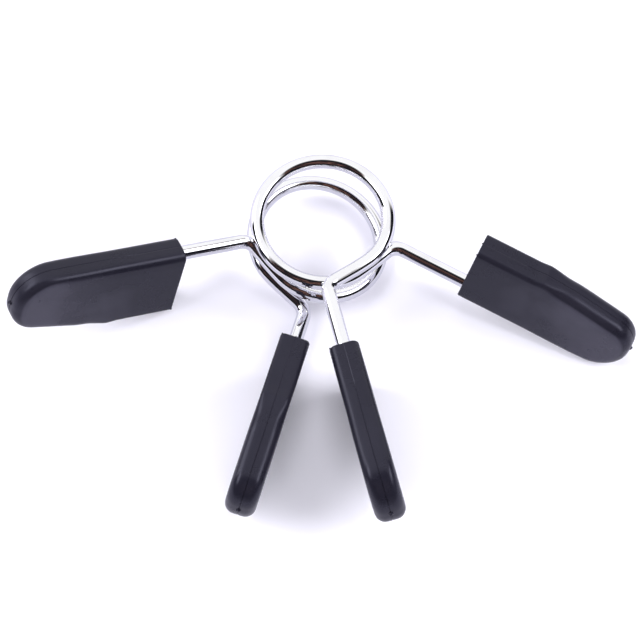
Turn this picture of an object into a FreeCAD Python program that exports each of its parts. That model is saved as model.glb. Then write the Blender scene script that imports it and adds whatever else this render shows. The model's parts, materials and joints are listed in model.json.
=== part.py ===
import FreeCAD, Part
import math
import os

# A pair of spring collars for a 50 mm barbell sleeve, one lying on the other on a table.
# Each collar is one bent spring wire, a turn and a bit of coil between two legs, with a
# moulded grip pushed on each leg. Squeezing the two grips together opens the coil.
# A collar is modelled upright about its own Z axis, with its legs to either side of +X. Its
# coil is the same again after half a turn about that X axis, and so are its legs and grips,
# but for the few degrees by which each leg is bent and each grip is turned on its wire.
# Both collars are then leaned and set down. Lengths are in millimetres, angles in degrees,
# and +Z is up from the table.

os.makedirs("parts", exist_ok=True)

Vector = FreeCAD.Vector
Rotation = FreeCAD.Rotation
ORIGIN = Vector(0, 0, 0)
X_AXIS = Vector(1, 0, 0)
Y_AXIS = Vector(0, 1, 0)
Z_AXIS = Vector(0, 0, 1)

# The wire and its coil
wire_diameter = 6.0
coil_bore_diameter = 49.0
turn_gap = 0.75
leg_half_angle = 26.0
leg_miss_distance = 5.2
bend_outset = 4.2
bend_radius = 6.6
chord_arc_angle = 42.6
chord_easing_length = 9.0
easing_arc_angle = 18.0
helix_spans = 4
gap_samples = 24

# The moulded grips
grip_length = 74.0
grip_width = 34.4
grip_mouth_thickness = 12.4
grip_swell_thickness = 12.8
grip_start_distance = 64.1
grip_edge_above_wire = 4.5
grip_edge_radius = 2.75
grip_mouth_chamfer = 0.6
bump_height = 0.6
waist_depth = 0.9
tip_drop = 6.8
bump_radius = 8.0
waist_radius = 30.0
swell_radius = 40.0
wire_depth_in_grip = 56.0
bore_end_clearance = 1.0
bore_lead_in = 0.8
overrun = 2.0
bump_start_share = 0.34
bump_share = 0.4
waist_share = 0.6
swell_start_share = 0.4
swell_share = 0.62
near_tip_share = 0.57
far_tip_share = 0.42
straight_share = 1e-9

# How each leg is bent off the coil's plane, and each grip turned on its wire
lower_left_rise_angle = 6.0
lower_front_rise_angle = -4.72
upper_front_rise_angle = 12.3
upper_right_rise_angle = 5.35
lower_left_roll_angle = 16.4
lower_front_roll_angle = 7.2
upper_front_roll_angle = 10.4
upper_right_roll_angle = -10.4

# How the two collars lie
lower_spin_angle = -130.39
lower_lean_x_angle = 4.91
lower_lean_y_angle = 14.12
upper_spin_angle = -49.48
upper_lean_x_angle = 5.98
upper_lean_y_angle = 2.03
upper_shift_x = 1.5
upper_shift_y = -1.1
resting_gap = 0.3
approach_turns = 4

wire_radius = wire_diameter / 2
coil_radius = (coil_bore_diameter + wire_diameter) / 2
coil_pitch = wire_diameter + turn_gap


def polar(radius, angle, height):
    """The point at that radius, azimuth and height about the coil's axis."""
    turn = math.radians(angle)
    return Vector(radius * math.cos(turn), radius * math.sin(turn), height)


def coil_height(angle):
    """Height of the wire's centre line at an azimuth, falling one pitch for each turn."""
    return coil_pitch * (180 - angle) / 360


def coil_station(angle):
    """Point and direction of the coil's centre line at an azimuth."""
    slope = -coil_pitch / (2 * math.pi)
    direction = polar(coil_radius, angle + 90, slope).normalize()
    return polar(coil_radius, angle, coil_height(angle)), direction


def half_turn(vector):
    """The vector after half a turn about the X axis, which changes the two legs over."""
    return Vector(vector.x, -vector.y, -vector.z)


def arc_between(start, corner, end):
    """Arc from start to end that touches the two equal lines meeting at corner."""
    middle = (start + end) / 2
    flatness = start.distanceToPoint(middle) / start.distanceToPoint(corner)
    crown = middle + (corner - middle) * (flatness / (1 + flatness))
    return Part.Arc(start, crown, end).toShape()


def joined(first, second):
    """Edges from one station to the next: a straight line, or two arcs that touch."""
    (start, leaving), (end, arriving) = first, second
    chord = end - start
    spread = 2 * (1 - leaving.dot(arriving))
    if spread < straight_share:
        return [Part.LineSegment(start, end).toShape()]
    along = chord.dot(leaving + arriving)
    reach = (math.sqrt(along * along + spread * chord.dot(chord)) - along) / spread
    first_corner = start + leaving * reach
    second_corner = end - arriving * reach
    meeting = (first_corner + second_corner) / 2
    return [arc_between(start, first_corner, meeting), arc_between(meeting, second_corner, end)]


def tube(stations):
    """Round wire along a smooth path through the stations."""
    edges = []
    for first, second in zip(stations, stations[1:]):
        edges.extend(joined(first, second))
    point, direction = stations[0]
    section = Part.Wire([Part.makeCircle(wire_radius, point, direction)])
    shell = Part.BRepOffsetAPI.MakePipeShell(Part.Wire(edges))
    shell.add(section)
    shell.build()
    shell.makeSolid()
    return shell.shape()


# The top leg's line seen from above, and the chord that leads from its bend to the coil
leg_across = polar(1, -leg_half_angle, 0)
leg_aside = Z_AXIS.cross(leg_across)
bend_reach = math.sqrt(coil_radius ** 2 - leg_miss_distance ** 2) + bend_outset
bend_angle = -leg_half_angle - math.degrees(math.asin(leg_miss_distance / coil_radius))
bend_corner = leg_across * bend_reach - leg_aside * leg_miss_distance
bend_corner = bend_corner + Z_AXIS * coil_height(bend_angle)
chord_end_angle = bend_angle + chord_arc_angle
chord_end = polar(coil_radius, chord_end_angle, coil_height(chord_end_angle))
chord_line = (chord_end - bend_corner).normalize()
bend_turn = math.pi - math.acos(leg_across.dot(chord_line))
bend_tangent = bend_radius * math.tan(bend_turn / 2)
bend_on_chord = bend_corner + chord_line * bend_tangent


def coil_stations():
    """Centre line of the coil between its two bends, chord, easing, turns, easing and chord."""
    opening = [(bend_on_chord, chord_line), (chord_end - chord_line * chord_easing_length, chord_line)]
    first_angle = chord_end_angle + easing_arc_angle
    step = (360 - 2 * first_angle) / helix_spans
    turns = [coil_station(first_angle + step * index) for index in range(helix_spans + 1)]
    closing = [(half_turn(point), -half_turn(direction)) for point, direction in reversed(opening)]
    return opening + turns + closing


def leg_line(rise):
    """Direction of the top leg that rises at that angle from the coil's plane."""
    return Rotation(leg_aside, -rise).multVec(leg_across)


def grip_start(rise):
    """Point on the top leg's centre line at the mouth of its grip."""
    return bend_corner + leg_line(rise) * (grip_start_distance - bend_reach)


def make_leg(rise):
    """Top leg with its bend, from the coil's end to the wire's end inside the grip."""
    line = leg_line(rise)
    bend_on_leg = bend_corner + line * bend_tangent
    wire_end = grip_start(rise) + line * wire_depth_in_grip
    return tube([(bend_on_chord, -chord_line), (bend_on_leg, line), (wire_end, line)])


def rounded_face(corners, across):
    """Flat face through corners (x, height along across, radius), its round corners as arcs."""
    points = [X_AXIS * x + across * height for x, height, radius in corners]
    begins = []
    ends = []
    for index, (x, height, radius) in enumerate(corners):
        here = points[index]
        back = (points[index - 1] - here).normalize()
        ahead = (points[(index + 1) % len(points)] - here).normalize()
        cut = radius / math.tan(math.acos(back.dot(ahead)) / 2)
        begins.append(here + back * cut)
        ends.append(here + ahead * cut)
    outline = []
    for index, (x, height, radius) in enumerate(corners):
        if radius > 0:
            outline.append(arc_between(begins[index], points[index], ends[index]))
        outline.append(Part.LineSegment(ends[index], begins[(index + 1) % len(corners)]).toShape())
    return Part.Face(Part.Wire(outline))


def make_grip():
    """Moulded grip on its own axes: X along the wire, Z across its width, with the bore at Z 0.

    Its side outline gives the rounded tip and the bump and waist of the far edge, its top
    outline the swelling behind the tip, and the body is what the two have in common.
    """
    near = grip_edge_above_wire
    far = near - grip_width
    tip_height = grip_width - tip_drop
    side = rounded_face([
        (0, far, 0),
        (0, near, 0),
        (grip_length, near, tip_height * near_tip_share),
        (grip_length, far + tip_drop, tip_height * far_tip_share),
        (grip_length * waist_share, far + waist_depth, waist_radius),
        (grip_length * bump_share, far - bump_height, bump_radius),
        (grip_length * bump_start_share, far, bump_radius),
    ], Z_AXIS)
    side.translate(Y_AXIS * -grip_swell_thickness)
    mouth_half = grip_mouth_thickness / 2
    swell_half = grip_swell_thickness / 2
    top = rounded_face([
        (-overrun, mouth_half, 0),
        (grip_length * swell_start_share, mouth_half, swell_radius),
        (grip_length * swell_share, swell_half, swell_radius),
        (grip_length + overrun, swell_half, 0),
        (grip_length + overrun, -swell_half, 0),
        (grip_length * swell_share, -swell_half, swell_radius),
        (grip_length * swell_start_share, -mouth_half, swell_radius),
        (-overrun, -mouth_half, 0),
    ], Y_AXIS)
    top.translate(Z_AXIS * (far - overrun))
    body = side.extrude(Y_AXIS * (2 * grip_swell_thickness))
    body = body.common(top.extrude(Z_AXIS * (grip_width + 2 * overrun)))
    rims = []
    for edge in body.Edges:
        box = edge.BoundBox
        middle = edge.valueAt((edge.FirstParameter + edge.LastParameter) / 2)
        if box.XMax > grip_edge_radius and abs(middle.y) > mouth_half / 2:
            rims.append(edge)
    body = body.makeFillet(grip_edge_radius, rims)
    mouth = [edge for edge in body.Edges if edge.BoundBox.XMax < grip_mouth_chamfer / 2]
    body = body.makeChamfer(grip_mouth_chamfer, mouth)
    bore_depth = wire_depth_in_grip + bore_end_clearance
    bore = Part.makeCylinder(wire_radius, bore_depth, ORIGIN, X_AXIS)
    lead_in = Part.makeCone(wire_radius + bore_lead_in, wire_radius, bore_lead_in, ORIGIN, X_AXIS)
    return body.cut(bore).cut(lead_in)


def on_leg(shape, rise, roll):
    """Turns a shape from the grip's own axes to its place on the top leg."""
    line = leg_line(rise)
    up = Rotation(line, roll).multVec(line.cross(leg_aside))
    thickness_way = up.cross(line)
    start = grip_start(rise)
    frame = FreeCAD.Matrix(
        line.x, thickness_way.x, up.x, start.x,
        line.y, thickness_way.y, up.y, start.y,
        line.z, thickness_way.z, up.z, start.z,
        0, 0, 0, 1,
    )
    moved = shape.copy()
    moved.Placement = FreeCAD.Placement(frame)
    return moved


def turned_over(shape):
    """The shape after half a turn about the collar's X axis, on its bottom leg."""
    other = shape.copy()
    other.rotate(ORIGIN, X_AXIS, 180)
    return other


def least_gap(stations, samples):
    """Least free space between parts of the coil at least a quarter turn apart, measured on points."""
    points = []
    for first, second in zip(stations, stations[1:]):
        for edge in joined(first, second):
            points.extend(edge.discretize(samples))
    least = None
    for index, point in enumerate(points):
        run = 0
        previous = point
        for other in points[index + 1:]:
            run += other.distanceToPoint(previous)
            previous = other
            if run > coil_radius * math.pi / 2:
                gap = other.distanceToPoint(point) - wire_diameter
                if least is None or gap < least:
                    least = gap
    return least


def make_collar(top_rise, top_roll, bottom_rise, bottom_roll):
    """The five solids of one upright collar."""
    grip = make_grip()
    return {
        "coil": tube(coil_stations()),
        "top_leg": make_leg(top_rise),
        "top_grip": on_leg(grip, top_rise, top_roll),
        "bottom_leg": turned_over(make_leg(bottom_rise)),
        "bottom_grip": turned_over(on_leg(grip, bottom_rise, bottom_roll)),
    }


def leaned(solids, spin, lean_x, lean_y):
    """Copies of the solids, spun about the coil's axis and then leaned, and the coil's new axis."""
    lean = X_AXIS * lean_x + Y_AXIS * lean_y
    turn = Rotation(lean, lean.Length).multiply(Rotation(Z_AXIS, spin))
    placed = {}
    for name, solid in solids.items():
        copy = solid.copy()
        copy.Placement = FreeCAD.Placement(ORIGIN, turn).multiply(solid.Placement)
        placed[name] = copy
    return placed, turn.multVec(Z_AXIS)


def reach_of(solids):
    """Exact bounding box of several solids together."""
    return Part.makeCompound(list(solids.values())).optimalBoundingBox(False, False)


def shifted(solids, shift):
    """Moves the solids by shift."""
    for solid in solids.values():
        solid.translate(shift)


print("least gap of the coil to itself", round(least_gap(coil_stations(), gap_samples), 3))

lower_leg_angles = (lower_left_rise_angle, lower_left_roll_angle,
                    lower_front_rise_angle, lower_front_roll_angle)
lower = make_collar(*lower_leg_angles)
upper_leg_angles = (upper_front_rise_angle, upper_front_roll_angle,
                    upper_right_rise_angle, upper_right_roll_angle)
upper = make_collar(*upper_leg_angles)
lower, lower_axis = leaned(lower, lower_spin_angle, lower_lean_x_angle, lower_lean_y_angle)
upper, upper_axis = leaned(upper, upper_spin_angle, upper_lean_x_angle, upper_lean_y_angle)

# The lower collar stands on the table, and the upper one comes down on it to the resting gap
lower_centre = Z_AXIS * -reach_of(lower).ZMin
shifted(lower, lower_centre)
lower_whole = Part.makeCompound(list(lower.values()))
upper_centre = lower_centre + Vector(upper_shift_x, upper_shift_y, approach_turns * coil_pitch)
shifted(upper, upper_centre)
for attempt in range(8):
    gap = Part.makeCompound(list(upper.values())).distToShape(lower_whole)[0]
    drop = Z_AXIS * (resting_gap - gap)
    shifted(upper, drop)
    upper_centre = upper_centre + drop

# The origin is on the table, under the middle of the pair
pair = {**{"lower " + name: solid for name, solid in lower.items()},
        **{"upper " + name: solid for name, solid in upper.items()}}
reach = reach_of(pair)
middle = Vector((reach.XMin + reach.XMax) / 2, (reach.YMin + reach.YMax) / 2, reach.ZMin)
shifted(lower, -middle)
shifted(upper, -middle)
lower_centre = lower_centre - middle
upper_centre = upper_centre - middle

nodes = {
    "lower_coil": lower["coil"],
    "lower_left_leg": lower["top_leg"],
    "lower_left_grip": lower["top_grip"],
    "lower_front_leg": lower["bottom_leg"],
    "lower_front_grip": lower["bottom_grip"],
    "upper_coil": upper["coil"],
    "upper_front_leg": upper["top_leg"],
    "upper_front_grip": upper["top_grip"],
    "upper_right_leg": upper["bottom_leg"],
    "upper_right_grip": upper["bottom_grip"],
}

for name, solid in nodes.items():
    solid.exportStep("parts/" + name + ".step")
    box = solid.optimalBoundingBox(False, False)
    print(name, solid.isValid(), len(solid.Solids), "volume", round(solid.Volume),
          "z", round(box.ZMin, 2), round(box.ZMax, 2))
for name, centre, axis in (("lower", lower_centre, lower_axis), ("upper", upper_centre, upper_axis)):
    print(name, "coil centre", [round(value, 3) for value in centre],
          "axis", [round(value, 5) for value in axis])
box = reach_of(nodes)
print("size", round(box.XLength, 1), round(box.YLength, 1), round(box.ZLength, 1))
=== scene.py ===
import json
import logging
import math
from dataclasses import dataclass
from enum import Enum
from itertools import accumulate
from typing import Any, Sequence

import bmesh
import bpy
from mathutils import Matrix, Vector


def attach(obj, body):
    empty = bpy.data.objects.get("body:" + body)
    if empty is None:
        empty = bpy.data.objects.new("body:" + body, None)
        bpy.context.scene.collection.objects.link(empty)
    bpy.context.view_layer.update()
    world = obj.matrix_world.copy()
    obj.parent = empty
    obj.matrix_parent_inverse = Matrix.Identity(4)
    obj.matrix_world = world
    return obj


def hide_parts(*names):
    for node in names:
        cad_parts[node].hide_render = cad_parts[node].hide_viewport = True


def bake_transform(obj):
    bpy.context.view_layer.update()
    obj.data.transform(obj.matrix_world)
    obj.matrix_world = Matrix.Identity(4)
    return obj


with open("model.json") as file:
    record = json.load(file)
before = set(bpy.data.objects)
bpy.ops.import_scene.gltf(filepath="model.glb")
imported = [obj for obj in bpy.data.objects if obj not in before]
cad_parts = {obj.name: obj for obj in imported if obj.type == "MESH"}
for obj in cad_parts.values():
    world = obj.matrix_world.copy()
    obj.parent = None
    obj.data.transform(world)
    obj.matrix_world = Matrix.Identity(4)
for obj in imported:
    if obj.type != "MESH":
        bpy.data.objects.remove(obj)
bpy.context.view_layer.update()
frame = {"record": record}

log = logging.getLogger("spring_collars")

MM = 0.001
NEARLY_ZERO = 1e-9
NOISE_MIDDLE = 0.5
X_AXIS = Vector((1, 0, 0))
Y_AXIS = Vector((0, 1, 0))
Z_AXIS = Vector((0, 0, 1))


class Leg(Enum):
    """The two ends of a collar's wire: the one above its coil and the one below it."""

    TOP = "top"
    BOTTOM = "bottom"


class Rim(Enum):
    """The two narrow sides of a grip: the straight one near the wire and the one with the bump."""

    NEAR = "near"
    FAR = "far"


class Finish(Enum):
    """The finishes that the pieces and the studio are given."""

    CHROMED_WIRE = "chromed_wire"
    GRIP_PLASTIC = "grip_plastic"
    STUDIO_FLOOR = "studio_floor"
    LIGHT_TENT = "light_tent"


@dataclass(frozen=True)
class Value:
    """One number of a shader, as a socket that adds Math nodes when it is calculated with."""

    socket: bpy.types.NodeSocket

    def _math(self, operation: str, *terms: Any) -> "Value":
        """Adds a Math node.

        Args:
            operation: Blender's name of the operation.
            terms: numbers or Values, in the node's order.

        Returns:
            The node's result.
        """
        node = self.socket.id_data.nodes.new("ShaderNodeMath")
        node.operation = operation
        for socket, term in zip(node.inputs, terms):
            feed(socket, term)
        return Value(node.outputs[0])

    def __add__(self, other: Any) -> "Value":
        """Sum."""
        return self._math("ADD", self, other)

    def __radd__(self, other: Any) -> "Value":
        """Sum, with the number first."""
        return self._math("ADD", other, self)

    def __sub__(self, other: Any) -> "Value":
        """Difference."""
        return self._math("SUBTRACT", self, other)

    def __rsub__(self, other: Any) -> "Value":
        """Difference, with the number first."""
        return self._math("SUBTRACT", other, self)

    def __mul__(self, other: Any) -> "Value":
        """Product."""
        return self._math("MULTIPLY", self, other)

    def larger(self, other: Any) -> "Value":
        """The larger of the two."""
        return self._math("MAXIMUM", self, other)

    def ramp(self, low: float, high: float) -> "Value":
        """Runs smoothly from 0 where the value is low to 1 where it is high.

        Args:
            low: value at which the result leaves 0.
            high: value at which the result reaches 1.

        Returns:
            The smooth share.
        """
        node = self.socket.id_data.nodes.new("ShaderNodeMapRange")
        node.interpolation_type = "SMOOTHSTEP"
        for name, given in (("Value", self), ("From Min", low), ("From Max", high)):
            feed(node.inputs[name], given)
        return Value(node.outputs["Result"])


def feed(socket: bpy.types.NodeSocket, given: Any) -> None:
    """Links a Value or an output to a node's input, or sets the input's number or colour."""
    source = given.socket if isinstance(given, Value) else given
    if isinstance(source, bpy.types.NodeSocket):
        socket.id_data.links.new(source, socket)
    else:
        socket.default_value = (*source, 1.0) if isinstance(source, tuple) else source


class Shader:
    """A material under construction, with one method for every node but Math."""

    def __init__(self, name: str) -> None:
        """Starts an empty material.

        Args:
            name: the material's name.
        """
        self.material = bpy.data.materials.new(name)
        self.material.use_nodes = True
        self.tree = self.material.node_tree
        self.tree.nodes.clear()

    def node(self, kind: str, settings: dict[str, Any] | None = None, **inputs: Any) -> bpy.types.Node:
        """Adds a node.

        Args:
            kind: Blender's type of the node.
            settings: properties that are set before its sockets.
            inputs: what feeds its sockets, by name, with underscores for spaces.

        Returns:
            The node.
        """
        node = self.tree.nodes.new(kind)
        for key, setting in (settings or {}).items():
            setattr(node, key, setting)
        for key, given in inputs.items():
            name = key.replace("_", " ")
            feed(next(socket for socket in node.inputs if socket.name == name and socket.enabled), given)
        return node

    def object_point(self) -> bpy.types.NodeSocket:
        """The point in Object coordinates."""
        return self.node("ShaderNodeTexCoord").outputs["Object"]

    def coordinate(self, axis: str) -> Value:
        """One Object coordinate as a Value."""
        return Value(self.parts(self.object_point())[axis])

    def own(self, attribute: str, output: str) -> bpy.types.NodeSocket:
        """That output of one of the piece's own attributes."""
        return self.node("ShaderNodeAttribute", {"attribute_name": attribute}).outputs[output]

    def parts(self, vector: bpy.types.NodeSocket) -> Any:
        """The vector's X, Y and Z outputs."""
        return self.node("ShaderNodeSeparateXYZ", None, Vector=vector).outputs

    def mixed(self, share: Any, first: Any, second: Any) -> bpy.types.NodeSocket:
        """Mixes two colours.

        Args:
            share: how much of the second one there is.
            first: colour or socket.
            second: colour or socket.

        Returns:
            The mixed colour.
        """
        node = self.node("ShaderNodeMix", {"data_type": "RGBA"}, Factor=share, A=first, B=second)
        return next(socket for socket in node.outputs if socket.enabled)

    def bump(self, height: Value, distance: float, strength: float) -> bpy.types.NodeSocket:
        """Normals of a fine relief.

        Args:
            height: the relief, from 0 to 1.
            distance: its depth in metres.
            strength: how much of it shows.

        Returns:
            The normals.
        """
        node = self.node("ShaderNodeBump", None, Strength=strength, Distance=distance, Height=height)
        return node.outputs["Normal"]

    def surface(self, shader: bpy.types.NodeSocket) -> bpy.types.Material:
        """Makes that shader the material's surface."""
        self.node("ShaderNodeOutputMaterial", None, Surface=shader)
        return self.material


@dataclass(frozen=True)
class Mottle:
    """An uneven pattern: its lumps for each metre, its finer layers, and where it starts and is full."""

    scale: float
    detail: float
    start: float = 0.0
    full: float = 1.0

    def raw(self, shader: Shader, vector: bpy.types.NodeSocket) -> Value:
        """The pattern around NOISE_MIDDLE, before its ramp."""
        node = shader.node("ShaderNodeTexNoise", None, Vector=vector, Scale=self.scale, Detail=self.detail)
        return Value(node.outputs[0])

    def share(self, shader: Shader, vector: bpy.types.NodeSocket) -> Value:
        """The pattern as a share from 0 to 1."""
        return self.raw(shader, vector).ramp(self.start, self.full)


@dataclass(frozen=True)
class ChromedWireFinish:
    """Bright chrome plate on drawn spring wire."""

    plate_colour: tuple = (0.955, 0.955, 0.98)
    haze_colour: tuple = (0.86, 0.85, 0.90)
    polish: float = 0.06
    haze: float = 0.12
    cloud_share: float = 0.5
    clouds: Mottle = Mottle(90.0, 3.0, 0.45, 0.72)
    lines: Mottle = Mottle(2600.0, 3.0, 0.55, 0.8)
    line_stretch_share: float = 0.02
    line_depth: float = 2e-6
    line_strength: float = 0.35
    line_haze: float = 0.03

    def material(self) -> bpy.types.Material:
        """Builds the material.

        Returns:
            Chrome with faint drawing lines along the wire and a light haze in places.
        """
        shader = Shader(Finish.CHROMED_WIRE.value)
        around = shader.parts(shader.own("section", "Vector"))
        along = Value(shader.own("along", "Fac")) * self.line_stretch_share
        streaked = shader.node("ShaderNodeCombineXYZ", None, X=around["X"], Y=around["Y"], Z=along)
        lines = self.lines.raw(shader, streaked.outputs[0])
        clouds = self.clouds.share(shader, shader.object_point())
        normal = shader.bump(lines, self.line_depth, self.line_strength)
        colour = shader.mixed(clouds * self.cloud_share, self.plate_colour, self.haze_colour)
        lined = lines.ramp(self.lines.start, self.lines.full) * self.line_haze
        roughness = self.polish + clouds * (self.haze - self.polish) + lined
        plate = shader.node("ShaderNodeBsdfPrincipled", None, Base_Color=colour, Metallic=1.0,
                            Roughness=roughness, Normal=normal)
        return shader.surface(plate.outputs[0])


@dataclass(frozen=True)
class GripPlasticFinish:
    """Satin black moulded plastic with a fine spark-eroded texture, and a painted sheen on its broad
    faces.
    """

    body_colour: tuple = (0.0098, 0.0092, 0.0158)
    worn_colour: tuple = (0.0138, 0.0130, 0.0210)
    # painted sheen: colour that makes the broad faces lighter towards the tip, in place of reflected light
    painted_sheen_colour: tuple = (0.036, 0.034, 0.049)
    speck_colour: tuple = (0.06, 0.06, 0.07)
    worn_share: float = 0.45
    speck_share: float = 0.10
    satin: float = 0.24
    matt: float = 0.33
    refraction: float = 1.40
    gloss_colour: tuple = (0.80, 0.80, 1.0)
    flow: Mottle = Mottle(45.0, 3.0, 0.35, 0.7)
    specks: Mottle = Mottle(1500.0, 1.0, 0.70, 0.76)
    texture: Mottle = Mottle(2400.0, 2.0)
    texture_depth: float = 12e-6
    texture_strength: float = 0.5
    texture_haze: float = 0.04
    painted_sheen_lengthwise_shares: tuple = (0.22, 0.95)
    painted_sheen_face_shares: tuple = (0.90, 0.985)
    painted_sheen_unevenness: float = 0.35

    def material(self) -> bpy.types.Material:
        """Builds the material.

        Returns:
            Black plastic whose gloss varies a little over the moulding, with broad faces painted lighter
            towards the tip as a painted sheen.
        """
        shader = Shader(Finish.GRIP_PLASTIC.value)
        point = shader.object_point()
        texture = self.texture.raw(shader, point)
        flow = self.flow.share(shader, point)
        specks = self.specks.share(shader, point)
        colour = shader.mixed(flow * self.worn_share, self.body_colour, self.worn_colour)
        place = shader.parts(shader.own("moulding", "Vector"))
        along, across = Value(place["X"]), Value(place["Y"])
        # Painted sheen: lighter colour on the broad faces towards the tip, standing in for reflected
        # light.
        uneven = (flow - NOISE_MIDDLE) * self.painted_sheen_unevenness
        painted_sheen = (along + uneven).ramp(*self.painted_sheen_lengthwise_shares)
        painted_sheen = painted_sheen * across.ramp(*self.painted_sheen_face_shares)
        colour = shader.mixed(painted_sheen, colour, self.painted_sheen_colour)
        colour = shader.mixed(specks * self.speck_share, colour, self.speck_colour)
        roughness = self.satin + flow * (self.matt - self.satin) + texture * self.texture_haze
        normal = shader.bump(texture, self.texture_depth, self.texture_strength)
        plastic = shader.node("ShaderNodeBsdfPrincipled", None, Base_Color=colour, Roughness=roughness,
                              IOR=self.refraction, Specular_Tint=self.gloss_colour, Normal=normal)
        return shader.surface(plastic.outputs[0])


@dataclass(frozen=True)
class StudioFloorFinish:
    """Pale paper sweep that keeps the object's soft shadow."""

    near_colour: tuple = (0.925, 0.918, 0.965)
    far_colour: tuple = (1.0, 1.0, 1.0)
    paper_colour: tuple = (0.905, 0.892, 1.0)
    fade_span: tuple = (-0.05, 0.22)
    camera_share: float = 0.05
    backdrop_span: tuple = (0.35, 0.8)
    gloss_share: float = 0.85
    gloss_tint: tuple = (0.86, 0.84, 1.0)
    # painted shade near the middle and a painted dark reflection beyond the front, which the floor shows
    # only in gloss
    painted_gloss_shade: tuple = (0.60, 0.59, 0.71)
    painted_dark_reflection: tuple = (0.03, 0.02, 0.02)
    painted_shade_side_span: tuple = (0.045, 0.125)
    painted_shade_front_span: tuple = (-0.05, -0.09)
    painted_dark_span: tuple = (-0.16, -0.30)

    def material(self) -> bpy.types.Material:
        """Builds the material.

        Returns:
            Paper that is lit by the studio and shows its own pale colour to the camera and in gloss, where
            it also shows painted shade near the middle and a painted dark reflection beyond its front.
        """
        shader = Shader(Finish.STUDIO_FLOOR.value)
        path = shader.node("ShaderNodeLightPath")
        mirrored = Value(path.outputs["Is Glossy Ray"])
        across, back = shader.coordinate("X"), shader.coordinate("Y")
        reach = across.larger(0.0 - across).larger(back).larger(0.0 - back)
        backdrop = reach.ramp(*self.backdrop_span)
        shown = self.camera_share + backdrop * (1 - self.camera_share)
        seen = Value(path.outputs["Is Camera Ray"]) * shown + mirrored * self.gloss_share
        fade = back.ramp(*self.fade_span).larger(backdrop)
        colour = shader.mixed(fade, self.near_colour, self.far_colour)
        # In gloss the floor shows painted shade near the middle and a painted dark reflection beyond its
        # front edge.
        beyond = back.ramp(*self.painted_dark_span)
        outside = across.larger(0.0 - across).ramp(*self.painted_shade_side_span)
        outside = outside.larger(back.ramp(*self.painted_shade_front_span))
        table = shader.mixed(outside, self.painted_gloss_shade, self.gloss_tint)
        colour = shader.mixed(mirrored, colour, shader.mixed(beyond, table, self.painted_dark_reflection))
        paper = shader.node("ShaderNodeBsdfDiffuse", None, Color=self.paper_colour)
        glow = shader.node("ShaderNodeEmission", None, Color=colour, Strength=1.0)
        mixed = shader.node("ShaderNodeMixShader")
        for socket, given in zip(mixed.inputs, (seen, paper.outputs[0], glow.outputs[0])):
            feed(socket, given)
        return shader.surface(mixed.outputs[0])


@dataclass(frozen=True)
class LightTentFinish:
    """Inside of the tent around the table, as chrome shows it: white, with two painted lamp glows, a dark
    front opening and low dark gaps to both sides. Directions are shares of the tent's radius."""

    white_colour: tuple = (1.0, 1.0, 1.0)
    # painted highlight: glow brighter than white, seen only in reflections
    painted_lamp_colour: tuple = (4.8, 4.8, 5.0)
    dark_colour: tuple = (0.011, 0.011, 0.015)
    warm_colour: tuple = (0.17, 0.084, 0.066)
    painted_lamp_places: tuple = ((-0.80, 0.12, 0.59), (0.80, 0.06, 0.59))
    painted_lamp_reaches: tuple = (0.50, 0.40)
    painted_lamp_core_share: float = 0.6
    front_span: tuple = (0.06, -0.12)
    front_narrowing: float = 0.7
    side_span: tuple = (0.34, 0.56)
    side_top_span: tuple = (0.62, 0.48)
    side_back_span: tuple = (0.54, 0.40)
    side_rise: float = 0.5
    side_lean: float = 0.2
    folds: Mottle = Mottle(1.6, 3.0)
    fold_share: float = 0.12
    side_fold_share: float = 0.24
    floor_span: tuple = (0.02, 0.05)
    patches: Mottle = Mottle(3.4, 4.0, 0.44, 0.60)
    patch_low_span: tuple = (0.30, 0.50)
    patch_high_span: tuple = (0.92, 0.76)

    def material(self, radius: float) -> bpy.types.Material:
        """Builds the material.

        Args:
            radius: the tent's radius in metres.

        Returns:
            White cloth with two painted lamp glows, and dark openings that have warm patches.
        """
        shader = Shader(Finish.LIGHT_TENT.value)
        way = [shader.coordinate(axis) * (1 / radius) for axis in "XYZ"]
        across, back, up = way
        folds = self.folds.raw(shader, shader.object_point()) - NOISE_MIDDLE
        front = back + across * across * self.front_narrowing + folds * self.fold_share
        front = front.ramp(*self.front_span)
        lower = up - back.larger(0.0) * self.side_rise + folds * self.side_fold_share
        side = across.larger(0.0 - across).ramp(*self.side_span) * lower.ramp(*self.side_top_span)
        side = side * (back - across * self.side_lean).ramp(*self.side_back_span)
        dark = front.larger(side) * up.ramp(*self.floor_span)
        warm = self.patches.share(shader, shader.object_point()) * (1 - side)
        warm = warm * up.ramp(*self.patch_low_span) * up.ramp(*self.patch_high_span)
        cloth = shader.mixed(warm, self.dark_colour, self.warm_colour)
        # Painted lamp glows: two patches brighter than white that only reflections show.
        left, right = (self.lamp(way, *lamp) for lamp in zip(self.painted_lamp_places, self.painted_lamp_reaches))
        colour = shader.mixed(left.larger(right), self.white_colour, self.painted_lamp_colour)
        colour = shader.mixed(dark, colour, cloth)
        glow = shader.node("ShaderNodeEmission", None, Color=colour, Strength=1.0)
        return shader.surface(glow.outputs[0])

    def lamp(self, way: Sequence[Value], place: tuple, reach: float) -> Value:
        """How much of one painted lamp glow covers that point of the cloth.

        Args:
            way: the point on the tent, as shares of its radius.
            place: the painted glow's middle, likewise.
            reach: distance at which it ends.

        Returns:
            The share, 1 in the glow's core.
        """
        across, back, up = (here - there for here, there in zip(way, place))
        spread = across * across + back * back + up * up
        return spread.ramp(reach ** 2, (reach * self.painted_lamp_core_share) ** 2)


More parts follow.
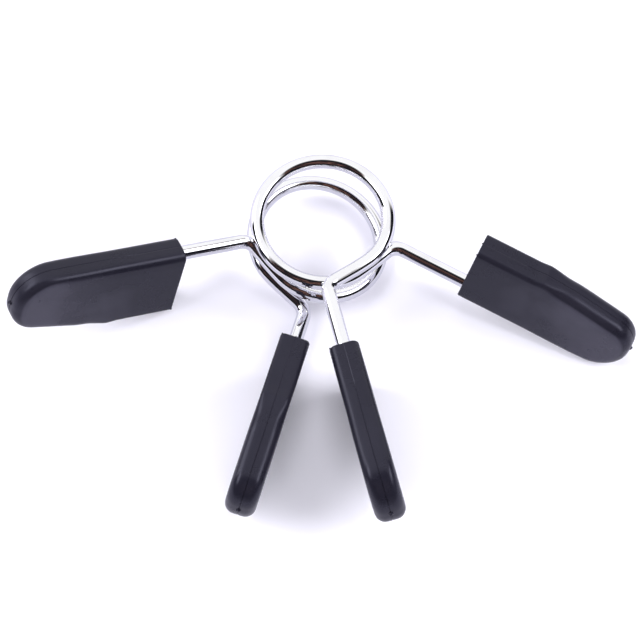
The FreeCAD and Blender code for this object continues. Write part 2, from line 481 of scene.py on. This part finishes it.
def rational_arc(start: Vector, corner: Vector, end: Vector, spans: int) -> list[Vector]:
    """Points on the circular arc that touches the two equal lines meeting at corner.

    Args:
        start: first point of the arc.
        corner: where the two lines meet.
        end: last point of the arc.
        spans: number of spans between the points.

    Returns:
        The points after start, up to end.
    """
    middle = (start + end) / 2
    weight = (start - middle).length / max((start - corner).length, NEARLY_ZERO)
    points = []
    for index in range(1, spans + 1):
        share = index / spans
        first, second, third = (1 - share) ** 2, 2 * weight * share * (1 - share), share ** 2
        points.append((start * first + corner * second + end * third) / (first + second + third))
    return points


@dataclass(frozen=True)
class Station:
    """A point of the wire's centre line and its direction there."""

    point: Vector
    direction: Vector

    def turned_over(self) -> "Station":
        """The station after half a turn about the collar's X axis, with its direction reversed."""
        point, way = self.point, self.direction
        return Station(Vector((point.x, -point.y, -point.z)), Vector((-way.x, way.y, way.z)))


def polar(radius: float, angle: float, height: float) -> Vector:
    """The point at that radius, azimuth in degrees and height about the Z axis."""
    turn = math.radians(angle)
    return Vector((radius * math.cos(turn), radius * math.sin(turn), height))


def lengths_along(points: Sequence[Vector]) -> list[float]:
    """The length along a line up to each of its points."""
    return list(accumulate(((two - one).length for one, two in zip(points, points[1:])), initial=0.0))


def eased(value: float, start: float, end: float) -> float:
    """The share from 0 at start to 1 at end that leaves and reaches them gently."""
    share = min(max((value - start) / (end - start), 0.0), 1.0)
    return share * share * (3 - 2 * share)


def uneased(share: float) -> float:
    """The place between 0 and 1 at which eased gives that share."""
    return 0.5 - math.sin(math.asin(1 - 2 * share) / 3)


def axes_place(x_way: Vector, y_way: Vector, z_way: Vector, origin: Vector) -> Matrix:
    """Takes a piece's own X, Y and Z to those ways, and its origin to that point."""
    place = Matrix.Identity(4)
    for column, way in enumerate((x_way, y_way, z_way, origin)):
        for row in range(3):
            place[row][column] = way[row]
    return place


def mount_centre(name: str) -> Vector:
    """Where the record puts that mount, in metres."""
    return next(Vector(mount["pos_m"]) for mount in frame["record"]["mounts"] if mount["name"] == name)


def new_object(name: str, data: bpy.types.ID) -> bpy.types.Object:
    """A new object with that data, in the scene."""
    made = bpy.data.objects.new(name, data)
    bpy.context.scene.collection.objects.link(made)
    return made


def bridge(work: bmesh.types.BMesh, one: list, two: list) -> None:
    """Joins two closed loops of as many points with a band of faces."""
    count = len(one)
    for index in range(count):
        after = (index + 1) % count
        work.faces.new((one[index], one[after], two[after], two[index]))


@dataclass
class WireTree:
    """Geometry Nodes that sweep a round wire along a carrier of points and edges."""

    name: str = "wire_sweep"

    def build(self) -> bpy.types.NodeTree:
        """Builds the node tree.

        Returns:
            The tree, with named inputs for the wire's radius, its sides and its finish.
        """
        tree = bpy.data.node_groups.new(self.name, "GeometryNodeTree")
        for name, way, kind in (("Geometry", "INPUT", "Geometry"), ("Wire Radius", "INPUT", "Float"),
                                ("Wire Sides", "INPUT", "Int"), ("Wire Finish", "INPUT", "Material"),
                                ("Geometry", "OUTPUT", "Geometry")):
            tree.interface.new_socket(name, in_out=way, socket_type="NodeSocket" + kind)
        add = tree.nodes.new
        given = add("NodeGroupInput")
        centre_line = add("GeometryNodeMeshToCurve")
        circle = add("GeometryNodeCurvePrimitiveCircle")
        place = add("GeometryNodeInputPosition")
        marked = add("GeometryNodeStoreNamedAttribute")
        marked.data_type = "FLOAT_VECTOR"
        marked.inputs["Name"].default_value = "section"
        sweep = add("GeometryNodeCurveToMesh")
        sweep.inputs["Fill Caps"].default_value = True
        finished = add("GeometryNodeSetMaterial")
        result = add("NodeGroupOutput")
        for source, output, target, name in ((given, "Geometry", centre_line, "Mesh"),
                                             (given, "Wire Sides", circle, "Resolution"),
                                             (given, "Wire Radius", circle, "Radius"),
                                             (circle, "Curve", marked, "Geometry"),
                                             (place, "Position", marked, "Value"),
                                             (centre_line, "Curve", sweep, "Curve"),
                                             (marked, "Geometry", sweep, "Profile Curve"),
                                             (sweep, "Mesh", finished, "Geometry"),
                                             (given, "Wire Finish", finished, "Material"),
                                             (finished, "Geometry", result, "Geometry")):
            tree.links.new(source.outputs[output], target.inputs[name])
        return tree


def plain_mesh(carrier: bpy.types.Object, name: str) -> bpy.types.Object:
    """Turns what a carrier's nodes make into a plain mesh, and removes the carrier.

    Args:
        carrier: object with a Geometry Nodes modifier.
        name: name of the new piece.

    Returns:
        The new piece, in the scene.
    """
    graph = bpy.context.evaluated_depsgraph_get()
    graph.update()
    mesh = bpy.data.meshes.new_from_object(carrier.evaluated_get(graph))
    carrier.modifiers.clear()
    bpy.data.objects.remove(carrier)
    mesh.name = name
    return new_object(name, mesh)


@dataclass
class Collar:
    """One spring collar: how it is bent, and how it lies on the table, in millimetres and degrees."""

    name: str
    spin: float
    lean_x: float
    lean_y: float
    top_rise: float
    top_roll: float
    bottom_rise: float
    bottom_roll: float
    still_body: str
    moving_body: str
    top_place: str
    bottom_place: str
    wire_diameter: float = 6.0
    coil_bore_diameter: float = 49.0
    turn_gap: float = 0.75
    leg_half_angle: float = 26.0
    leg_miss_distance: float = 5.2
    bend_outset: float = 4.2
    bend_radius: float = 6.6
    chord_arc_angle: float = 42.6
    chord_easing_length: float = 9.0
    easing_arc_angle: float = 18.0
    grip_start_distance: float = 64.1
    wire_depth_in_grip: float = 56.0
    helix_spans: int = 4
    fewest_arc_spans: int = 6
    arc_span_length: float = 1.6
    straight_span_length: float = 6.0
    winding_power: float = 3.0
    wire_sides: int = 44

    @property
    def coil_radius(self) -> float:
        """Radius of the coil's centre line."""
        return (self.coil_bore_diameter + self.wire_diameter) / 2

    @property
    def pitch(self) -> float:
        """Height that the coil falls in one turn."""
        return self.wire_diameter + self.turn_gap

    @property
    def leg_across(self) -> Vector:
        """Way that the top leg points, seen from above."""
        return polar(1, -self.leg_half_angle, 0)

    @property
    def leg_aside(self) -> Vector:
        """Way across the top leg, in the coil's plane."""
        return Z_AXIS.cross(self.leg_across)

    @property
    def bend_reach(self) -> float:
        """Distance along the leg from the coil's axis to its bend."""
        return math.sqrt(self.coil_radius ** 2 - self.leg_miss_distance ** 2) + self.bend_outset

    @property
    def bend_angle(self) -> float:
        """Azimuth at which the top leg crosses the coil's circle."""
        return -self.leg_half_angle - math.degrees(math.asin(self.leg_miss_distance / self.coil_radius))

    @property
    def bend_corner(self) -> Vector:
        """Where the top leg's line and its chord meet."""
        corner = self.leg_across * self.bend_reach - self.leg_aside * self.leg_miss_distance
        return corner + Z_AXIS * self.coil_height(self.bend_angle)

    def coil_height(self, angle: float) -> float:
        """Height of the centre line at an azimuth."""
        return self.pitch * (180 - angle) / 360

    def coil_station(self, angle: float) -> Station:
        """Station on the coil's turn at an azimuth."""
        slope = -self.pitch / (2 * math.pi)
        direction = polar(self.coil_radius, angle + 90, slope).normalized()
        return Station(polar(self.coil_radius, angle, self.coil_height(angle)), direction)

    def leg_line(self, rise: float) -> Vector:
        """Way that the top leg points when it rises at that angle from the coil's plane."""
        return Matrix.Rotation(math.radians(-rise), 3, self.leg_aside) @ self.leg_across

    def grip_start(self, rise: float) -> Vector:
        """Point on the top leg's centre line at the mouth of its grip."""
        return self.bend_corner + self.leg_line(rise) * (self.grip_start_distance - self.bend_reach)

    def stations(self) -> tuple[list[Station], int, int]:
        """The wire's stations from the top leg's end to the bottom leg's end.

        Returns:
            The stations, and the places in them where the coil starts and ends.
        """
        end_angle = self.bend_angle + self.chord_arc_angle
        chord_end = polar(self.coil_radius, end_angle, self.coil_height(end_angle))
        chord = (chord_end - self.bend_corner).normalized()
        tangent = self.bend_radius * math.tan((math.pi - math.acos(self.leg_across.dot(chord))) / 2)
        opening = [Station(self.bend_corner + chord * tangent, chord),
                   Station(chord_end - chord * self.chord_easing_length, chord)]
        first = end_angle + self.easing_arc_angle
        step = (360 - 2 * first) / self.helix_spans
        turns = [self.coil_station(first + step * index) for index in range(self.helix_spans + 1)]
        closing = [station.turned_over() for station in reversed(opening)]

        def leg(rise: float) -> list[Station]:
            """The top leg's stations from the wire's end to its bend."""
            line = self.leg_line(rise)
            tip = self.grip_start(rise) + line * self.wire_depth_in_grip
            return [Station(tip, -line), Station(self.bend_corner + line * tangent, -line)]

        top = leg(self.top_rise)
        bottom = [station.turned_over() for station in reversed(leg(self.bottom_rise))]
        return top + opening + turns + closing + bottom, len(top), len(top + opening + turns + closing) - 1

    def centre_line(self) -> tuple[list[Vector], float, float]:
        """Points along the wire's centre line.

        Returns:
            The points, and the lengths along them at which the coil starts and ends.
        """
        stations, first, last = self.stations()
        points = [stations[0].point]
        places = [0]
        for one, two in zip(stations, stations[1:]):
            points.extend(self.joined(one, two))
            places.append(len(points) - 1)
        lengths = lengths_along(points)
        return points, lengths[places[first]], lengths[places[last]]

    def joined(self, one: Station, two: Station) -> list[Vector]:
        """Points from one station to the next, on a straight line or on two arcs that touch.

        Args:
            one: station to leave.
            two: station to reach.

        Returns:
            The points after the first station, up to the second.
        """
        chord = two.point - one.point
        spread = 2 * (1 - one.direction.dot(two.direction))
        if spread < NEARLY_ZERO:
            spans = max(1, round(chord.length / self.straight_span_length))
            return [one.point + chord * (index / spans) for index in range(1, spans + 1)]
        along = chord.dot(one.direction + two.direction)
        reach = (math.sqrt(along * along + spread * chord.dot(chord)) - along) / spread
        first_corner = one.point + one.direction * reach
        second_corner = two.point - two.direction * reach
        meeting = (first_corner + second_corner) / 2
        spans = max(self.fewest_arc_spans, round(chord.length / self.arc_span_length))
        return (rational_arc(one.point, first_corner, meeting, spans)
                + rational_arc(meeting, second_corner, two.point, spans))

    def placement(self) -> Matrix:
        """Turns the collar's own axes, in millimetres, to its place in the frame, in metres."""
        lean = Vector((self.lean_x, self.lean_y, 0))
        turn = Matrix.Rotation(math.radians(lean.length), 3, lean)
        turn = turn @ Matrix.Rotation(math.radians(self.spin), 3, "Z")
        centre = mount_centre(self.name + "_coil_bore")
        return Matrix.Translation(centre) @ turn.to_4x4() @ Matrix.Scale(MM, 4)

    def grip_placement(self, leg: Leg) -> Matrix:
        """Place of a grip's own axes: X along its wire, Y across its thickness, Z across its width."""
        rise, roll = {Leg.TOP: (self.top_rise, self.top_roll),
                      Leg.BOTTOM: (self.bottom_rise, self.bottom_roll)}[leg]
        line = self.leg_line(rise)
        up = Matrix.Rotation(math.radians(roll), 3, line) @ line.cross(self.leg_aside)
        own = axes_place(line, up.cross(line), up, self.grip_start(rise))
        if leg is Leg.BOTTOM:
            own = Matrix.Rotation(math.pi, 4, "X") @ own
        return self.placement() @ own

    def build_wire(self, tree: bpy.types.NodeTree, finish: bpy.types.Material) -> bpy.types.Object:
        """Builds the collar's one bent wire.

        Args:
            tree: the sweeping nodes.
            finish: the wire's material.

        Returns:
            The wire, from leg end to leg end, which follows both of the collar's bodies.
        """
        points, coil_start, coil_end = self.centre_line()
        place = self.placement()
        mesh = bpy.data.meshes.new(self.name + "_wire_line")
        mesh.from_pydata([place @ point for point in points],
                         [(index, index + 1) for index in range(len(points) - 1)], [])
        along = mesh.attributes.new("along", "FLOAT", "POINT")
        for mark, length in zip(along.data, lengths_along(points)):
            mark.value = length * MM
        carrier = new_object(self.name + "_wire_line", mesh)
        modifier = carrier.modifiers.new("sweep", "NODES")
        modifier.node_group = tree
        given = {"Wire Radius": self.wire_diameter / 2 * MM, "Wire Sides": self.wire_sides,
                 "Wire Finish": finish}
        for item in tree.interface.items_tree:
            if item.in_out == "INPUT" and item.name in given:
                modifier[item.identifier] = given[item.name]
        wire = plain_mesh(carrier, self.name + "_wire")
        wire.data.shade_smooth()
        self._follow_both(wire, coil_start * MM, coil_end * MM)
        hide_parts(*(self.name + part for part in
                            ("_coil", f"_{self.top_place}_leg", f"_{self.bottom_place}_leg")))
        return wire

    def _follow_both(self, wire: bpy.types.Object, coil_start: float, coil_end: float) -> None:
        """Works out each vertex's share of the coil's turn and then puts the vertex back unchanged.

        The shares put most of the turn near the moving leg. They stand in the vertices only while the
        wire's transform is baked, and every vertex then gets its place back.

        Args:
            wire: the collar's wire.
            coil_start: length along the wire at which the coil leaves the still leg.
            coil_end: length along the wire at which it reaches the moving leg.
        """
        vertices = wire.data.vertices
        places = [vertex.co.copy() for vertex in vertices]
        for vertex, mark in zip(vertices, wire.data.attributes["along"].data):
            share = min(max((mark.value - coil_start) / (coil_end - coil_start), 0.0), 1.0)
            vertex.co = Vector((uneased(share ** self.winding_power), 0, 0))
        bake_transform(wire)
        for vertex, place in zip(vertices, places):
            vertex.co = place
        wire.data.update()


@dataclass
class SqueezeGrip:
    """A moulded grip on its own axes: X along the wire, Y across its thickness, Z across its
    width, with the bore at Z 0 and the mouth at X 0. Lengths in millimetres."""

    length: float = 74.0
    width: float = 34.4
    mouth_thickness: float = 12.4
    swell_thickness: float = 12.8
    edge_above_wire: float = 4.5
    bump_height: float = 0.6
    waist_depth: float = 0.9
    tip_drop: float = 6.8
    bump_radius: float = 4.0
    waist_radius: float = 30.0
    bump_start_share: float = 0.34
    bump_share: float = 0.4
    waist_share: float = 0.6
    swell_start_share: float = 0.4
    swell_share: float = 0.62
    near_tip_share: float = 0.57
    far_tip_share: float = 0.42
    mouth_rounding: float = 2.0
    near_rounding: float = 2.9
    waist_rounding: float = 4.0
    waist_run_share: float = 0.14
    tip_run_share: float = 0.3
    tip_rounding: float = 4.3
    rim_crown: float = 0.18
    rim_shoulder_share: float = 0.66
    groove_width: float = 0.42
    groove_border_share: float = 1.1
    groove_floor_share: float = 0.2
    groove_depth: float = 0.2
    groove_start_share: float = 0.3
    mouth_edge: float = 0.5
    mouth_edge_shares: tuple = ((0.0, 1.0), (0.15, 0.3))
    bore_radius: float = 3.12
    lead_in: float = 0.7
    bore_depth: float = 2.6
    stations: int = 150
    rounding_spans: int = 7
    face_spans: int = 8
    corner_spans: int = 24
    bore_sides: int = 48
    weld_distance: float = 1e-4
    sharp_angle: float = 38.0
    gate_depth: float = 0.25
    gate_lump: tuple = (1.15, 1.1, 0.9)
    flash_depth: float = 0.1
    flash_insets: tuple = (0.3, 1.2, 1.6)
    flash_lump: tuple = (0.5, 0.35, 0.45)
    lump_waves: tuple = (4, 5, 3)
    lump_unevenness: float = 0.16

    def half_thickness(self, along: float) -> float:
        """Half the grip's thickness at that distance from its mouth."""
        share = eased(along / self.length, self.swell_start_share, self.swell_share)
        return (self.mouth_thickness + (self.swell_thickness - self.mouth_thickness) * share) / 2

    def rounding(self, along: float, rim: Rim) -> float:
        """Radius of the grip's long edges at that distance from its mouth.

        Args:
            along: distance from the grip's mouth.
            rim: the rim that the edges belong to.

        Returns:
            The radius, which grows behind the far rim's bump and towards the tip of both.
        """
        start, middle = {Rim.FAR: (self.mouth_rounding, self.waist_rounding),
                         Rim.NEAR: (self.near_rounding, self.near_rounding)}[rim]
        waist = eased(along / self.length, self.bump_share, self.bump_share + self.waist_run_share)
        tip = eased(along / self.length, 1 - self.tip_run_share, 1)
        return start + (middle - start) * waist + (self.tip_rounding - middle) * tip

    def outline(self) -> tuple[list[Vector], list[Vector]]:
        """The two halves of the side outline, from the mouth to the tip's end.

        Returns:
            The far half, with the bump and the waist, and the straight near half.
        """
        near, far = self.edge_above_wire, self.edge_above_wire - self.width
        tip_height = self.width - self.tip_drop
        flat_tip_share = 1 - self.near_tip_share - self.far_tip_share
        end_height = near - tip_height * (self.near_tip_share + flat_tip_share / 2)
        far_corners = [(0, far, 0), (self.length * self.bump_start_share, far, 2 * self.bump_radius),
                       (self.length * self.bump_share, far - self.bump_height, self.bump_radius),
                       (self.length * self.waist_share, far + self.waist_depth, self.waist_radius),
                       (self.length, far + self.tip_drop, tip_height * self.far_tip_share),
                       (self.length, end_height, 0)]
        near_corners = [(0, near, 0), (self.length, near, tip_height * self.near_tip_share),
                        (self.length, end_height, 0)]
        return self.evened(self.rounded(far_corners)), self.evened(self.rounded(near_corners))

    def rounded(self, corners: Sequence[tuple[float, float, float]]) -> list[Vector]:
        """Points along a line through corners, with arcs at its round ones.

        Args:
            corners: X, Z and radius of each corner.

        Returns:
            The points, in order.
        """
        places = [Vector((x, 0, z)) for x, z, radius in corners]
        points = [places[0]]
        for index in range(1, len(corners) - 1):
            here = places[index]
            back = (places[index - 1] - here).normalized()
            ahead = (places[index + 1] - here).normalized()
            cut = corners[index][2] / math.tan(math.acos(back.dot(ahead)) / 2)
            points.append(here + back * cut)
            points.extend(rational_arc(here + back * cut, here, here + ahead * cut, self.corner_spans))
        points.append(places[-1])
        return points

    def evened(self, points: list[Vector]) -> list[Vector]:
        """The same line with its points evenly spaced.

        Args:
            points: the line's own points.

        Returns:
            As many points as the grip has stations.
        """
        lengths = lengths_along(points)
        spaced = []
        place = 0
        for index in range(self.stations):
            target = lengths[-1] * index / (self.stations - 1)
            while place < len(lengths) - 2 and lengths[place + 1] < target:
                place += 1
            run = max(lengths[place + 1] - lengths[place], NEARLY_ZERO)
            spaced.append(points[place].lerp(points[place + 1], (target - lengths[place]) / run))
        return spaced

    def rim_profile(self, along: float, rim: Rim) -> list[tuple[float, float]]:
        """The rim's profile from one broad face to the other.

        Args:
            along: distance from the grip's mouth.
            rim: which rim it is.

        Returns:
            Height from the grip's middle plane and inset from its outline, for each point.
        """
        radius = self.rounding(along, rim)
        half = self.half_thickness(along)
        flat = half - radius
        side = []
        for index in range(self.rounding_spans + 1):
            turn = math.pi / 2 * (1 - index / self.rounding_spans)
            side.append((flat + radius * math.sin(turn), radius * (1 - math.cos(turn))))
        side.append((flat * self.rim_shoulder_share, 0.0))
        side.append((self.groove_width * self.groove_border_share, 0.0))
        side.append((self.groove_width / 2, 0.0))
        profile = [(height, inset + self.rim_crown * (height / half) ** 2) for height, inset in side]
        grown = self.groove_start_share + (1 - self.groove_start_share) * along / self.length
        profile.append((self.groove_width * self.groove_floor_share, self.groove_depth * grown))
        return profile + [(-height, inset) for height, inset in reversed(profile)]

    def loop(self, far: Vector, far_out: Vector, near: Vector, near_out: Vector) -> list[Vector]:
        """One closed loop of points around the grip.

        Args:
            far: outline point of the far half.
            far_out: way out of the outline there.
            near: outline point of the near half.
            near_out: way out of the outline there.

        Returns:
            The points: near rim, one broad face, far rim, other broad face.
        """
        rims = []
        for rim, point, out in ((Rim.NEAR, near, near_out), (Rim.FAR, far, far_out)):
            profile = self.rim_profile(point.x, rim)
            rims.append([point - out * inset + Y_AXIS * height for height, inset in profile])
        near_rim, far_rim = rims
        loop = list(near_rim)
        loop.extend(self.across(near_rim[-1], far_rim[-1]))
        loop.extend(reversed(far_rim))
        loop.extend(self.across(far_rim[0], near_rim[0]))
        return loop

    def across(self, one: Vector, two: Vector) -> list[Vector]:
        """Points between two rims on a broad face."""
        points = []
        for index in range(1, self.face_spans):
            point = one.lerp(two, index / self.face_spans)
            point.y = math.copysign(self.half_thickness(point.x), one.y)
            points.append(point)
        return points

    @staticmethod
    def outward(points: list[Vector], index: int, side: float) -> Vector:
        """Way out of an outline at one of its points.

        Args:
            points: the outline.
            index: the point's place in it.
            side: 1 where the outline runs with its outside at +Z, else -1.

        Returns:
            A unit vector.
        """
        if index == len(points) - 1:
            return X_AXIS.copy()
        along = (points[index + 1] - points[max(index - 1, 0)]).normalized()
        return Vector((-along.z, 0, along.x)) * side

    def mesh(self, name: str, place: Matrix, finish: bpy.types.Material) -> bpy.types.Mesh:
        """Builds the grip's mesh in its place.

        Args:
            name: the mesh's name.
            place: the grip's own axes in the frame.
            finish: the grip's material.

        Returns:
            The closed mesh.
        """
        far, near = self.outline()
        work = bmesh.new()
        loops = []
        for index in range(self.stations):
            points = self.loop(far[index], self.outward(far, index, -1),
                               near[index], self.outward(near, index, 1))
            if index == 0:
                for depth_share, inset_share in self.mouth_edge_shares:
                    depth = X_AXIS * depth_share * self.mouth_edge
                    inset = inset_share * self.mouth_edge
                    loops.append([work.verts.new(self.drawn_in(point, inset) + depth) for point in points])
                points = [point + X_AXIS * self.mouth_edge for point in points]
            loops.append([work.verts.new(point) for point in points])
        for one, two in zip(loops, loops[1:]):
            bridge(work, one, two)
        self.close_mouth(work, loops[0])
        bmesh.ops.remove_doubles(work, verts=work.verts, dist=self.weld_distance)
        self.add_nub(work, Vector((self.length - self.gate_depth, 0, near[-1].z)), self.gate_lump)
        aside = self.mouth_thickness / 2 - self.mouth_edge
        low, high = far[0].z, near[0].z
        first, second, third = self.flash_insets
        for across, height in ((0, low + first), (aside, low + second), (-aside, high - third)):
            self.add_nub(work, Vector((self.flash_depth, across, height)), self.flash_lump)
        bmesh.ops.recalc_face_normals(work, faces=work.faces)
        for face in work.faces:
            face.smooth = True
        spots = [self.spot(vertex.co) for vertex in work.verts]
        bmesh.ops.transform(work, matrix=place, verts=work.verts)
        mesh = bpy.data.meshes.new(name)
        work.to_mesh(mesh)
        work.free()
        mesh.set_sharp_from_angle(angle=math.radians(self.sharp_angle))
        # The grip plastic reads these shares to place its painted sheen.
        marks = mesh.attributes.new("moulding", "FLOAT_VECTOR", "POINT")
        for mark, spot in zip(marks.data, spots):
            mark.vector = spot
        mesh.materials.append(finish)
        return mesh

    def spot(self, point: Vector) -> Vector:
        """Where a point is on the grip, as shares of its length, half thickness and width."""
        low = self.edge_above_wire - self.width
        return Vector((point.x / self.length, abs(point.y) / self.half_thickness(point.x),
                       (point.z - low) / self.width))

    def drawn_in(self, point: Vector, inset: float) -> Vector:
        """The point moved in from the mouth's outline by about inset."""
        middle = self.edge_above_wire - self.width / 2
        narrower = 1 - inset / (self.mouth_thickness / 2)
        lower = 1 - inset / (self.width / 2)
        return Vector((point.x, point.y * narrower, middle + (point.z - middle) * lower))

    def close_mouth(self, work: bmesh.types.BMesh, rim: list) -> None:
        """Closes the mouth with its flat end face and the bore for the wire.

        Args:
            work: the grip under construction.
            rim: the mouth's outermost loop.
        """
        rings = []
        for depth, radius in ((0.0, self.bore_radius + self.lead_in), (self.lead_in, self.bore_radius),
                              (self.bore_depth, self.bore_radius)):
            turns = [2 * math.pi * index / self.bore_sides for index in range(self.bore_sides)]
            rings.append([work.verts.new((depth, radius * math.cos(turn), radius * math.sin(turn)))
                          for turn in turns])
        for one, two in zip(rings, rings[1:]):
            bridge(work, one, two)
        work.faces.new(rings[-1])
        edges = []
        for loop in (rim, rings[0]):
            for one, two in zip(loop, loop[1:] + loop[:1]):
                edges.append(work.edges.get((one, two)) or work.edges.new((one, two)))
        bmesh.ops.triangle_fill(work, use_beauty=True, use_dissolve=False, edges=edges, normal=-X_AXIS)

    def add_nub(self, work: bmesh.types.BMesh, centre: Vector, radii: tuple) -> None:
        """Adds a small uneven lump, as the mould's gate and its seams leave them.

        Args:
            work: the grip under construction.
            centre: the lump's middle.
            radii: its half sizes.
        """
        made = bmesh.ops.create_icosphere(work, subdivisions=2, radius=1.0)
        for vertex in made["verts"]:
            x, y, z = (wave * part for wave, part in zip(self.lump_waves, vertex.co))
            uneven = 1 + self.lump_unevenness * math.sin(y + z) * math.cos(x)
            vertex.co = centre + Vector([part * radius * uneven for part, radius in zip(vertex.co, radii)])

    def build(self, collar: Collar, leg: Leg, finish: bpy.types.Material) -> bpy.types.Object:
        """Builds one grip on one leg of a collar.

        Args:
            collar: the collar that it belongs to.
            leg: the leg that it sits on.
            finish: the grip's material.

        Returns:
            The grip.
        """
        place_name = {Leg.TOP: collar.top_place, Leg.BOTTOM: collar.bottom_place}[leg]
        node = f"{collar.name}_{place_name}_grip"
        mesh = self.mesh(node + "_moulding", collar.grip_placement(leg), finish)
        piece = new_object(node + "_moulding", mesh)
        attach(piece, {Leg.TOP: collar.still_body, Leg.BOTTOM: collar.moving_body}[leg])
        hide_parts(node)
        return piece


@dataclass(frozen=True)
class Softbox:
    """A square soft lamp that faces the object, in metres and watts. Gloss shows the tent's painted lamp
    glows instead.
    """

    name: str
    place: tuple
    size: float
    power: float

    def hang(self) -> None:
        """Hangs the lamp in the scene."""
        lamp = bpy.data.lights.new(self.name, "AREA")
        lamp.shape = "SQUARE"
        lamp.size = self.size
        lamp.energy = self.power
        place = Vector(self.place)
        holder = new_object(self.name, lamp)
        holder.location = place
        holder.rotation_euler = (-place).to_track_quat("-Z", "Y").to_euler()
        holder.visible_glossy = False


@dataclass
class Studio:
    """Floor, light tent, lamps, world and camera. Lengths in metres."""

    floor_half: float = 3.0
    tent_radius: float = 2.2
    tent_low: float = 1.0
    tent_high: float = 88.0
    tent_rows: int = 40
    tent_columns: int = 96
    lamps: tuple = (Softbox("overhead_softbox", (0.0, 0.2, 1.3), 0.6, 3.7),
                    Softbox("left_softbox", (-1.25, 0.0, 0.75), 1.2, 27.0),
                    Softbox("right_softbox", (1.25, 0.0, 0.75), 1.2, 27.0),
                    Softbox("front_softbox", (0.0, -1.1, 0.9), 1.0, 10.5))
    world_colour: tuple = (0.93, 0.93, 0.96)
    world_strength: float = 0.13
    coil_to_camera: tuple = (0.0, -0.5986, 0.95365)
    forward: tuple = (0.0006, 0.4999, -0.8661)
    roll: float = 2.499
    focal_length: float = 150.8
    sensor_width: float = 36.0

    def build(self) -> None:
        """Builds everything around the object."""
        self.add_floor()
        self.add_tent()
        for lamp in self.lamps:
            lamp.hang()
        self.set_world()
        self.add_camera()

    def add_floor(self) -> None:
        """Lays the pale floor that the collars lie on."""
        half = self.floor_half
        mesh = bpy.data.meshes.new("paper_floor")
        corners = [(-half, -half, 0), (half, -half, 0), (half, half, 0), (-half, half, 0)]
        mesh.from_pydata(corners, [], [(0, 1, 2, 3)])
        mesh.materials.append(StudioFloorFinish().material())
        floor = new_object("paper_floor", mesh)

    def add_tent(self) -> None:
        """Adds the tent, which only gloss shows."""
        work = bmesh.new()
        rings = []
        for row in range(self.tent_rows + 1):
            height = math.radians(self.tent_low + (self.tent_high - self.tent_low) * row / self.tent_rows)
            out, up = self.tent_radius * math.cos(height), self.tent_radius * math.sin(height)
            rings.append([work.verts.new(polar(out, 360 * column / self.tent_columns, up))
                          for column in range(self.tent_columns)])
        for one, two in zip(rings, rings[1:]):
            bridge(work, one, two)
        work.faces.new(rings[-1])
        mesh = bpy.data.meshes.new("light_tent")
        work.to_mesh(mesh)
        work.free()
        mesh.materials.append(LightTentFinish().material(self.tent_radius))
        tent = new_object("light_tent", mesh)
        tent.visible_camera = False
        tent.visible_diffuse = False
        tent.visible_shadow = False

    def set_world(self) -> None:
        """Sets the pale world that fills the shadows and shows white behind the object."""
        world = bpy.data.worlds.new("pale_studio")
        world.use_nodes = True
        bpy.context.scene.world = world
        tree = world.node_tree
        path = tree.nodes.new("ShaderNodeLightPath")
        seen = Value(path.outputs["Is Camera Ray"]).larger(Value(path.outputs["Is Glossy Ray"]))
        seen = seen.larger(Value(path.outputs["Is Transmission Ray"]))
        background = tree.nodes["Background"]
        feed(background.inputs["Color"], self.world_colour)
        feed(background.inputs["Strength"], seen * (1 - self.world_strength) + self.world_strength)

    def add_camera(self) -> None:
        """Places the camera where the photograph was taken from."""
        location = mount_centre("upper_coil_bore") + Vector(self.coil_to_camera)
        forward = Vector(self.forward).normalized()
        level = forward.cross(Z_AXIS).normalized()
        above = level.cross(forward)
        roll = math.radians(self.roll)
        right = level * math.cos(roll) + above * math.sin(roll)
        up = right.cross(forward)
        data = bpy.data.cameras.new("photograph")
        data.sensor_fit = "HORIZONTAL"
        data.sensor_width = self.sensor_width
        data.lens = self.focal_length
        camera = new_object("photograph", data)
        camera.matrix_world = axes_place(right, up, -forward, location)
        bpy.context.scene.camera = camera


def collars() -> tuple[Collar, Collar]:
    """The two collars, as they lie on the table.

    Returns:
        The lower collar and the upper one.
    """
    lower = Collar("lower", spin=-130.39, lean_x=4.91, lean_y=14.12, top_rise=6.0, top_roll=16.4,
                   bottom_rise=-4.72, bottom_roll=7.2, still_body="lower_collar",
                   moving_body="lower_front_handle", top_place="left", bottom_place="front")
    upper = Collar("upper", spin=-49.48, lean_x=5.98, lean_y=2.03, top_rise=12.3, top_roll=10.4,
                   bottom_rise=5.35, bottom_roll=-10.4, still_body="upper_collar",
                   moving_body="upper_right_handle", top_place="front", bottom_place="right")
    return lower, upper


def main() -> None:
    """Builds both collars and the studio."""
    logging.basicConfig(level=logging.INFO, format="%(message)s")
    scene = bpy.context.scene
    scene.view_settings.view_transform = "Standard"
    chrome = ChromedWireFinish().material()
    plastic = GripPlasticFinish().material()
    tree = WireTree().build()
    grip = SqueezeGrip()
    for collar in collars():
        wire = collar.build_wire(tree, chrome)
        log.info("%s: %d faces", wire.name, len(wire.data.polygons))
        for leg in Leg:
            piece = grip.build(collar, leg, plastic)
            log.info("%s: %d faces", piece.name, len(piece.data.polygons))
    Studio().build()


if __name__ == "__main__":
    main()
